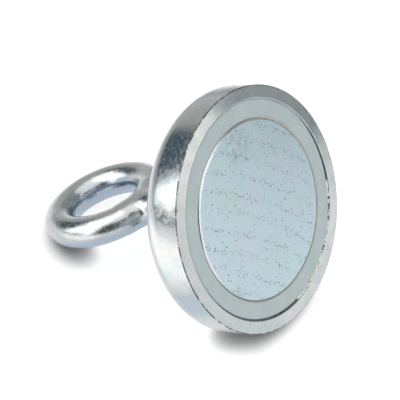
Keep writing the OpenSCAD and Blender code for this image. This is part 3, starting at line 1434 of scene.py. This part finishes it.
@dataclass
class Fasteners:
    """The flat washer, the spring washer and the jam nut that lock the eyebolt."""

    washer_start: float = 26.05 * MM
    washer_t: float = 2.0 * MM
    washer_r: float = 10.0 * MM
    washer_hole: float = 5.25 * MM
    washer_edge: float = 0.4 * MM
    washer_seat_edge: float = 0.12 * MM
    washer_hole_edge: float = 0.2 * MM
    washer_hole_seat_edge: float = 0.1 * MM
    spring_start: float = 28.1 * MM
    spring_t: float = 2.2 * MM
    spring_r: float = 9.05 * MM
    spring_hole: float = 5.1 * MM
    spring_edge: float = 0.3 * MM
    spring_hole_edge: float = 0.2 * MM
    spring_steps: int = 144
    split_w: float = 1.4 * MM
    split_angle: float = math.radians(20.0)
    nut_start: float = 30.35 * MM
    nut_t: float = 5.0 * MM
    nut_flats: float = 17.0 * MM
    nut_hole: float = 5.05 * MM
    nut_countersink: float = 0.6 * MM
    nut_slope: float = math.radians(30.0)
    nut_edge: float = 0.12 * MM
    nut_face: float = 0.985
    nut_corner: float = 0.97
    nut_steps: int = 360
    plating: Finish = ZincPlating("zinc on the fasteners", roughness=0.2, grain=0.02)
    spring_plating: Finish = ZincPlating(
        "zinc on spring steel",
        colour=(0.50, 0.52, 0.53),
        tint=(0.42, 0.46, 0.49),
        roughness=0.3,
        grain=0.025,
    )

    def build(self) -> None:
        """Builds and dresses the washers and the nut."""
        self.build_flat_washer()
        self.build_spring_washer()
        self.build_nut()

    def build_flat_washer(self) -> None:
        """Turns the flat washer, rounded on one side as a punched washer is."""
        end = self.washer_start + self.washer_t
        section = Outline()
        section.corner(self.washer_hole, self.washer_start, self.washer_hole_seat_edge, steps=3)
        section.corner(self.washer_r, self.washer_start, self.washer_seat_edge, steps=3)
        section.corner(self.washer_r, end, self.washer_edge, steps=6)
        section.corner(self.washer_hole, end, self.washer_hole_edge, steps=3)
        washer = SHOP.turned("washer_flat", section.points(), steps=144)
        SHOP.finished(washer, self.plating, Body.FLAT_WASHER, Slot.FASTENER, "flat_washer")

    def build_spring_washer(self) -> None:
        """Sweeps the spring washer's section around, between the two slanted ends of its split."""
        end = self.spring_start + self.spring_t
        middle = self.spring_start + self.spring_t / 2
        half = self.split_w / 2 / math.cos(self.split_angle)
        section = Outline()
        section.corner(self.spring_hole, self.spring_start, self.spring_hole_edge, steps=3)
        section.corner(self.spring_r, self.spring_start, self.spring_edge, steps=3)
        section.corner(self.spring_r, end, self.spring_edge, steps=3)
        section.corner(self.spring_hole, end, self.spring_hole_edge, steps=3)
        points = section.points()

        def swept(radius: float, along: float, share: float) -> Vector:
            """Finds a point of the section on its way around.

            Args:
                radius: The point's distance from the axis.
                along: The point's place along the axis.
                share: 0 at one end of the split, 1 at the other.

            Returns:
                The point.
            """
            slant = (middle - along) * math.tan(self.split_angle)
            first = math.asin((half + slant) / radius)
            last = 2 * math.pi - math.asin((half - slant) / radius)
            return SHOP.spoke(radius, first + (last - first) * share, along)

        shares = [step / self.spring_steps for step in range(self.spring_steps + 1)]
        sections = [[swept(radius, along, share) for radius, along in points] for share in shares]
        washer = SHOP.laid_down("washer_spring", SHOP.skinned(sections, closed=False))
        SHOP.finished(washer, self.spring_plating, Body.SPRING_WASHER, Slot.SPRING, "spring_washer")

    def build_nut(self) -> None:
        """Builds the hexagon nut, whose corners are turned off at both ends."""
        half = self.nut_flats / 2
        end = self.nut_start + self.nut_t
        bevel_r = half * self.nut_face
        half_side = math.pi / 6

        def reach(angle: float) -> float:
            """Distance from the axis to the hexagon at an angle, with softened corners."""
            off = (angle + half_side) % (2 * half_side) - half_side
            return min(half / math.cos(off), half / math.cos(half_side) - self.nut_edge)

        sections = []
        for step in range(self.nut_steps):
            angle = 2 * math.pi * step / self.nut_steps + half_side
            outer = reach(angle + half_side)
            drop = max(0.0, (outer - bevel_r) * math.tan(self.nut_slope))
            profile = [
                (self.nut_hole, self.nut_countersink),
                (self.nut_hole + self.nut_countersink, 0.0),
                (bevel_r, 0.0),
                (outer - self.nut_edge, drop * self.nut_corner),
                (outer, drop + self.nut_edge),
            ]
            front = [SHOP.spoke(radius, angle, self.nut_start + deep) for radius, deep in profile]
            back = [SHOP.spoke(radius, angle, end - deep) for radius, deep in reversed(profile)]
            sections.append(front + back)
        nut = SHOP.laid_down("nut_jam", SHOP.skinned(sections, closed=True))
        SHOP.finished(nut, self.plating, Body.JAM_NUT, Slot.FASTENER, "jam_nut")


class ThreadTree(SizedTree):
    """Cuts a V-shaped right-hand thread into a rod that stands on its middle."""

    NAME = "screw thread on a rod"
    SIZES = ("Major Radius", "Minor Radius", "Pitch", "Length", "End Chamfer")
    AROUND = 96
    UPWARD = 240
    ROOT = 0.25
    FLANK = 0.625

    def shape(self, sheet: NodeSheet, given: dict[str, Wire]) -> Wire:
        """Adds the nodes that draw a fine rod in to the thread's flanks and roots.

        Args:
            sheet: The tree's sheet.
            given: The tree's inputs.

        Returns:
            The threaded rod.
        """
        major, minor, pitch, length, chamfer = (given[name] for name in self.SIZES)
        sockets = {"Vertices": self.AROUND, "Side Segments": self.UPWARD, "Radius": major, "Depth": length}
        rod = sheet.wire("GeometryNodeMeshCylinder", {"fill_type": "NGON"}, sockets)
        place = sheet.wire("GeometryNodeInputPosition")
        x, y, z = sheet.parts(place)
        climb = z + length * 0.5
        swing = y.math("ARCTAN2", x) / (2.0 * math.pi)
        wave = abs((climb / pitch - swing).fraction() * 2.0 - 1.0)
        crest = ((wave - self.ROOT) / self.FLANK).clamped()
        radius = (minor + (major - minor) * crest).at_most(major - chamfer + climb)
        share = radius / major
        squeeze = sheet.wire("ShaderNodeCombineXYZ", None, {0: share, 1: share, 2: 1.0})
        moved = sheet.vector("MULTIPLY", place, squeeze)
        return sheet.wire("GeometryNodeSetPosition", None, {"Geometry": rod, "Position": moved})


@dataclass
class EyeBolt:
    """The forged ring on its neck and threaded shank."""

    root_share: float = 0.96
    shank_start: float = 11.0 * MM
    shank_chamfer: float = 1.0 * MM
    shank_overlap: float = 0.5 * MM
    thread_depth: float = 0.92 * MM
    ring_steps: int = 128
    wire_steps: int = 32
    neck_steps: int = 48
    neck_flare: float = 1.3
    skin: float = 0.45 * MM
    melt: float = 1.2 * MM
    draw_steps: int = 12
    draw_reach: float = 1.0 * MM
    probe: float = 0.001 * MM
    least_slope: float = 0.2
    plating: Finish = EyePlating(
        "zinc on the eye",
        colour=(0.52, 0.535, 0.535),
        tint=(0.46, 0.49, 0.51),
        warm=(0.56, 0.55, 0.51),
        # painted shade: the eye's bluish darkening on its underside and inside the ring
        painted_shade=(0.36, 0.425, 0.51),
        painted_shade_band=(-1.3, 2.2),
        roughness=0.16,
        grain=0.045,
        grain_scale=1.5,
        swell=0.09,
    )

    def build(self) -> None:
        """Builds the ring and the thread, joins them and dresses them."""
        material = self.plating.material()
        ring = SHOP.shown("ring", self.ring_mesh())
        thread = SHOP.shown("shank", self.thread_mesh(material))
        union = ring.modifiers.new("thread", "BOOLEAN")
        union.operation = "UNION"
        union.solver = "EXACT"
        union.object = thread
        mesh = SHOP.plain(ring)
        bpy.data.objects.remove(thread)
        made = bmesh.new()
        made.from_mesh(mesh)
        bolt = SHOP.laid_down("eye_bolt", made)
        SHOP.finished(bolt, self.plating, Body.EYEBOLT, Slot.EYE, "eyebolt")

    def thread_mesh(self, material: bpy.types.Material) -> bpy.types.Mesh:
        """Cuts the shank's thread.

        Args:
            material: The thread's material.

        Returns:
            The shank in the axis frame.
        """
        length = LAYOUT.thread_end + self.shank_overlap - self.shank_start
        mesh = ThreadTree(material).run(
            {
                "Major Radius": LAYOUT.thread_r,
                "Minor Radius": LAYOUT.thread_r - self.thread_depth,
                "Pitch": LAYOUT.thread_pitch,
                "Length": length,
                "End Chamfer": self.shank_chamfer,
            }
        )
        mesh.transform(Matrix.Translation((0.0, 0.0, self.shank_start + length / 2)))
        return mesh

    def distance(self, points: np.ndarray) -> np.ndarray:
        """How far points are outside the ring, its two roots and the neck.

        Args:
            points: Rows of x, y, u.

        Returns:
            Distances, below zero inside.
        """
        x, y, u = points.T
        across = np.hypot(x, u - LAYOUT.ring_u) - LAYOUT.ring_r
        far = np.hypot(across, y) - LAYOUT.wire_r
        offset, start = LAYOUT.blend_offset, LAYOUT.blend_start
        bend = LAYOUT.blend_r + LAYOUT.wire_r
        sweep = math.atan2(LAYOUT.ring_u - start, offset)
        for side in (1.0, -1.0):
            angle = np.arctan2(u - start, side * x - offset)
            angle = np.where(angle < -math.pi / 2, angle + 2 * math.pi, angle)
            angle = np.clip(angle, math.pi - sweep, math.pi)
            near_x, near_u = offset + bend * np.cos(angle), start + bend * np.sin(angle)
            gap = np.sqrt((side * x - near_x) ** 2 + (u - near_u) ** 2 + y**2)
            far = self.melted(far, gap - LAYOUT.wire_r * self.root_share)
        neck_side = np.hypot(x, y) - LAYOUT.thread_r
        neck_ends = np.maximum(LAYOUT.thread_end - u, u - (LAYOUT.ring_u - LAYOUT.ring_r))
        return self.melted(far, np.maximum(neck_side, neck_ends))

    def melted(self, first: np.ndarray, second: np.ndarray) -> np.ndarray:
        """Joins two distances with a soft crease.

        Args:
            first: Distances to one shape.
            second: Distances to the other.

        Returns:
            Distances to both.
        """
        share = np.clip(0.5 + 0.5 * (second - first) / self.melt, 0.0, 1.0)
        return second * (1.0 - share) + first * share - self.melt * share * (1.0 - share)

    def rough_mesh(self) -> bpy.types.Mesh:
        """Makes a plain ring, and a cone that stands in for its neck.

        Returns:
            The two shapes in the axis frame, one through the other.
        """
        sections = []
        for step in range(self.ring_steps):
            angle = 2 * math.pi * step / self.ring_steps
            section = []
            for turn in range(self.wire_steps):
                tilt = 2 * math.pi * turn / self.wire_steps
                reach = LAYOUT.ring_r + LAYOUT.wire_r * math.cos(tilt)
                x, y = reach * math.sin(angle), LAYOUT.wire_r * math.sin(tilt)
                section.append(Vector((x, y, LAYOUT.ring_u - reach * math.cos(angle))))
            sections.append(section)
        made = SHOP.skinned(sections, closed=True)
        length = LAYOUT.ring_u - LAYOUT.ring_r - LAYOUT.thread_end
        bmesh.ops.create_cone(
            made,
            cap_ends=True,
            segments=self.neck_steps,
            radius1=LAYOUT.thread_r,
            radius2=LAYOUT.thread_r * self.neck_flare,
            depth=length,
            matrix=Matrix.Translation((0.0, 0.0, LAYOUT.thread_end + length / 2)),
        )
        bmesh.ops.recalc_face_normals(made, faces=made.faces)
        return SHOP.kept("ring", made)

    def drawn_on(self, points: np.ndarray) -> np.ndarray:
        """Draws points onto the surface, in short moves down the slope of their distance.

        Args:
            points: Rows of x, y, u near the surface.

        Returns:
            The points on the surface.
        """
        for _ in range(self.draw_steps):
            sides = [
                np.stack([self.distance(points + move * axis) for axis in np.eye(3)], 1)
                for move in (self.probe, -self.probe)
            ]
            slope = (sides[0] - sides[1]) / (2 * self.probe)
            steep = np.maximum((slope**2).sum(1), self.least_slope)
            move = np.clip(self.distance(points) / steep, -self.draw_reach, self.draw_reach)
            points = points - move[:, None] * slope
        return points

    def ring_mesh(self) -> bpy.types.Mesh:
        """Makes a fine skin around the ring and neck and draws it onto their exact surface.

        Returns:
            The skin in the axis frame.
        """
        rough = SHOP.shown("rough ring", self.rough_mesh())
        skin = rough.modifiers.new("skin", "REMESH")
        skin.mode = "VOXEL"
        skin.voxel_size = self.skin
        fine = SHOP.plain(rough)
        points = np.empty(len(fine.vertices) * 3)
        fine.vertices.foreach_get("co", points)
        points = self.drawn_on(points.reshape(-1, 3))
        fine.vertices.foreach_set("co", points.ravel())
        fine.update()
        return fine


@dataclass(frozen=True)
class Panel:
    """A soft-edged panel of light or shade around the object, as directions in degrees.

    Azimuth 0 is in front of the magnet's face, and grows towards +X.
    """

    azimuth: float
    half_width: float
    elevation: float
    half_height: float
    softness: float
    colour: Colour

    def share(self, azimuth: Wire, elevation: Wire) -> Wire:
        """How much of the panel a direction sees.

        Args:
            azimuth: The direction's azimuth.
            elevation: The direction's elevation.

        Returns:
            1 on the panel, 0 away from it.
        """
        aside = abs((azimuth - self.azimuth).math("WRAP", 180.0, -180.0))
        above = abs(elevation - self.elevation)
        across = aside.falling(self.half_width - self.softness, self.half_width + self.softness)
        return across * above.falling(self.half_height - self.softness, self.half_height + self.softness)


@dataclass
class Studio:
    """The floor, the soft surroundings and the camera."""

    floor_r: float = 9.0
    floor_colour: Colour = (0.90, 0.90, 0.90)
    floor_share: float = 0.3
    floor_glow: float = 0.85
    pot_contact: float = 8.5 * MM
    eye_contact: float = 9.0 * MM
    eye_from: float = 0.0 * MM
    eye_to: float = 20.0 * MM
    pot_lean: Point = (0.75, -0.95)
    eye_lean: Point = (-0.35, 0.2)
    lean_up: float = 0.8
    open_from: float = -7.0 * MM
    open_to: float = 3.0 * MM
    contact_dark: float = 0.97
    contact_band: Point = (0.5, 0.97)
    contact_samples: int = 16
    contact_from: float = 96.0 * MM
    contact_to: float = 120.0 * MM
    # painted pool of light on the floor, at the left
    pool: Place = (-0.145, 0.06, 0.0)
    pool_from: float = 82.5 * MM
    pool_to: float = 112.5 * MM
    pool_glow: float = 0.6
    pool_colour: Colour = (1.0, 0.985, 0.94)
    # painted shade on the far floor, seen only in mirrors
    far_way: Place = (0.5, 0.866, 0.0)
    far_from: float = 0.1
    far_to: float = 0.4
    far_painted_shade: Colour = (0.15, 0.18, 0.19)
    card_r: float = 0.26
    card_h: float = 0.15
    card_lift: float = 1.0 * MM
    card_steps: int = 24
    card_from: float = math.radians(37.5)
    card_to: float = math.radians(125.0)
    card_colour: Colour = (0.38, 0.41, 0.42)
    surround: Colour = (0.45, 0.46, 0.47)
    panels: tuple[Panel, ...] = (
        Panel(0.0, 200.0, 75.0, 24.0, 6.0, (1.35, 1.35, 1.35)),
        Panel(3.5, 36.0, 25.0, 34.0, 1.5, (1.4, 1.4, 1.4)),
        Panel(-62.0, 22.0, 14.0, 36.0, 9.0, (0.10, 0.135, 0.125)),
        Panel(84.0, 44.5, 22.0, 36.0, 1.5, (0.33, 0.36, 0.37)),
        Panel(146.0, 22.0, 30.0, 32.0, 5.0, (0.58, 0.58, 0.56)),
        Panel(181.0, 19.0, 22.0, 17.0, 7.0, (0.08, 0.12, 0.155)),
        Panel(-133.0, 45.0, 60.0, 20.0, 5.0, (2.3, 2.3, 2.3)),
        Panel(-122.0, 32.5, 22.0, 20.0, 7.0, (2.3, 2.3, 2.3)),
        Panel(-117.0, 12.0, 7.0, 8.0, 3.0, (0.8, 0.82, 0.85)),
        Panel(0.0, 200.0, -45.0, 47.5, 1.5, (1.0, 1.0, 1.0)),
        Panel(-138.0, 11.0, 2.5, 4.0, 2.5, (0.09, 0.11, 0.12)),
    )
    azimuth: float = math.radians(-57.453)
    elevation: float = math.radians(42.396)
    distance: float = 0.7193
    yaw: float = math.radians(-1.444)
    pitch: float = math.radians(0.218)
    roll: float = math.radians(-0.858)
    lens: float = 216.0
    sensor: float = 36.0
    clip: Point = (0.05, 50.0)

    def build(self) -> None:
        """Builds the floor, the surroundings and the camera."""
        self.build_floor()
        self.build_card()
        self.build_surroundings()
        self.build_camera()

    def prop(
        self, name: str, made: bmesh.types.BMesh, finish: str, surface: Callable[[NodeSheet], Wire]
    ) -> bpy.types.Object:
        """Makes one of the studio's own things.

        Args:
            name: The thing's name.
            made: Its mesh, which is freed.
            finish: Its material's name.
            surface: Adds the material's nodes and returns the last shader.

        Returns:
            The thing.
        """
        mesh = SHOP.kept(name, made)
        mesh.materials.append(new_material(finish, surface))
        return SHOP.shown(name, mesh)

    def build_floor(self) -> None:
        """Lays a plain white floor that keeps the object's shadow."""
        made = bmesh.new()
        bmesh.ops.create_circle(made, cap_ends=True, segments=64, radius=self.floor_r)
        floor = self.prop("floor", made, "white floor", self.floor_surface)

    def floor_surface(self, sheet: NodeSheet) -> Wire:
        """Makes a floor that glows where it is seen or mirrored, and is matt for all other light.

        Args:
            sheet: The floor's sheet.

        Returns:
            The floor's shader.
        """
        paths = sheet.node("ShaderNodeLightPath")
        rays = ("Is Camera Ray", "Is Glossy Ray", "Is Transmission Ray")
        seen, mirrored, through = (Wire(sheet, paths.outputs[ray]) for ray in rays)
        where = sheet.wire("ShaderNodeTexCoord", output="Object")
        dark = self.contact_shade(sheet, where)
        colour = sheet.blend(dark, self.floor_light(sheet, where, mirrored), BLACK)
        shaded = tuple(self.floor_share * part for part in self.floor_colour)
        glow = sheet.wire("ShaderNodeEmission", None, {"Color": colour, "Strength": 1.0})
        matt = sheet.wire("ShaderNodeBsdfDiffuse", None, {"Color": self.floor_colour})
        dim = sheet.wire("ShaderNodeBsdfDiffuse", None, {"Color": shaded})
        lit = sheet.wire("ShaderNodeAddShader", None, {0: dim, 1: glow})
        shown = seen.at_least(mirrored).at_least(through)
        return sheet.wire("ShaderNodeMixShader", None, {0: shown, 1: matt, 2: lit})

    def floor_light(self, sheet: NodeSheet, where: Wire, mirrored: Wire) -> Wire:
        """Makes the floor's glow: a painted pool of light at the left, and a painted shade on the far side
        that only mirrors see.

        Args:
            sheet: The floor's sheet.
            where: The point on the floor.
            mirrored: 1 where the floor is seen in a mirror, 0 elsewhere.

        Returns:
            The glow's colour.
        """
        plain = (self.floor_glow, self.floor_glow, self.floor_glow)
        bright = tuple(part * (self.floor_glow + self.pool_glow) for part in self.pool_colour)
        # painted pool of light
        pool = sheet.distance(where, self.pool).falling(self.pool_from, self.pool_to)
        # painted shade on the far floor in mirrors
        far = sheet.vector("DOT_PRODUCT", where, self.far_way, 1).rising(self.far_from, self.far_to)
        return sheet.blend(far * mirrored, sheet.blend(pool, plain, bright), self.far_painted_shade)

    def contact_shade(self, sheet: NodeSheet, where: Wire) -> Wire:
        """Makes the shade on the floor close under the object, which is open at the eye's right.

        Args:
            sheet: The floor's sheet.
            where: The point on the floor.

        Returns:
            How dark the floor is.
        """
        across, behind, _ = sheet.parts(where)
        share = behind.rising(self.eye_from, self.eye_to)
        bare = share * across.rising(self.open_from, self.open_to)
        pairs = zip((*self.pot_lean, self.pot_contact), (*self.eye_lean, self.eye_contact))
        right, back, reach = (pot + (eye - pot) * share for pot, eye in pairs)
        lean = sheet.wire("ShaderNodeCombineXYZ", None, {0: right, 1: back, 2: self.lean_up})
        sockets = {"Distance": reach, "Normal": sheet.vector("NORMALIZE", lean)}
        settings = {"samples": self.contact_samples}
        contact = sheet.wire("ShaderNodeAmbientOcclusion", settings, sockets, "AO")
        near = sheet.vector("LENGTH", where, None, 1).falling(self.contact_from, self.contact_to)
        return self.contact_dark * contact.falling(*self.contact_band) * near * (1.0 - bare)

    def build_card(self) -> None:
        """Stands a dark curved card at the right, which only the metal sees."""
        made = bmesh.new()
        rows = []
        for step in range(self.card_steps + 1):
            angle = self.card_from + (self.card_to - self.card_from) * step / self.card_steps
            x, y = self.card_r * math.sin(angle), -self.card_r * math.cos(angle)
            rows.append([made.verts.new((x, y, z)) for z in (self.card_lift, self.card_h)])
        for (low, high), (next_low, next_high) in zip(rows, rows[1:]):
            made.faces.new((low, next_low, next_high, high))
        card = self.prop("dark_card", made, "dark card", self.card_surface)
        card.visible_camera = False

    def card_surface(self, sheet: NodeSheet) -> Wire:
        """A plain matt card."""
        return sheet.wire("ShaderNodeBsdfDiffuse", None, {"Color": self.card_colour})

    def build_surroundings(self) -> None:
        """Fills the world with panels of light and shade."""
        world = bpy.data.worlds.new("studio")
        world.use_nodes = True
        bpy.context.scene.world = world
        sheet = NodeSheet(world.node_tree)
        way = sheet.vector("NORMALIZE", sheet.wire("ShaderNodeTexCoord", output="Generated"))
        x, y, z = sheet.parts(way)
        azimuth = x.math("ARCTAN2", -y) * math.degrees(1.0)
        elevation = z.math("ARCSINE") * math.degrees(1.0)
        colour: Any = self.surround
        for panel in self.panels:
            colour = sheet.blend(panel.share(azimuth, elevation), colour, panel.colour)
        seen = sheet.wire("ShaderNodeLightPath", output="Is Camera Ray")
        colour = sheet.blend(seen, colour, WHITE)
        back = sheet.wire("ShaderNodeBackground", None, {"Color": colour, "Strength": 1.0})
        sheet.node("ShaderNodeOutputWorld", None, {"Surface": back})

    def build_camera(self) -> None:
        """Places the camera where the picture was taken from."""
        az, el = self.azimuth, self.elevation
        back = Vector((math.sin(az) * math.cos(el), -math.cos(az) * math.cos(el), math.sin(el)))
        right = Vector((math.cos(az), math.sin(az), 0.0))
        up = back.cross(right)
        look = (-back + math.tan(self.yaw) * right + math.tan(self.pitch) * up).normalized()
        side = look.cross(Vector((0.0, 0.0, 1.0))).normalized()
        top = side.cross(look)
        side, top = (
            math.cos(self.roll) * side + math.sin(self.roll) * top,
            math.cos(self.roll) * top - math.sin(self.roll) * side,
        )
        data = bpy.data.cameras.new("camera")
        data.lens = self.lens
        data.sensor_width = self.sensor
        data.clip_start, data.clip_end = self.clip
        camera = bpy.data.objects.new("camera", data)
        bpy.context.scene.collection.objects.link(camera)
        camera.matrix_world = Matrix.Translation(Vector(LAYOUT.face_centre) + back * self.distance) @ (
            Matrix((side, top, -look)).transposed().to_4x4()
        )
        bpy.context.scene.camera = camera


def main() -> None:
    """Builds the magnet's sub-assemblies and the studio around them."""
    logging.basicConfig(level=logging.INFO, format="%(name)s: %(message)s")
    bpy.context.scene.view_settings.view_transform = "Standard"
    for assembly in (PotBody(), MagnetFace(), Fasteners(), EyeBolt(), Studio()):
        LOG.info("building %s", type(assembly).__name__)
        assembly.build()


if __name__ == "__main__":
    main()
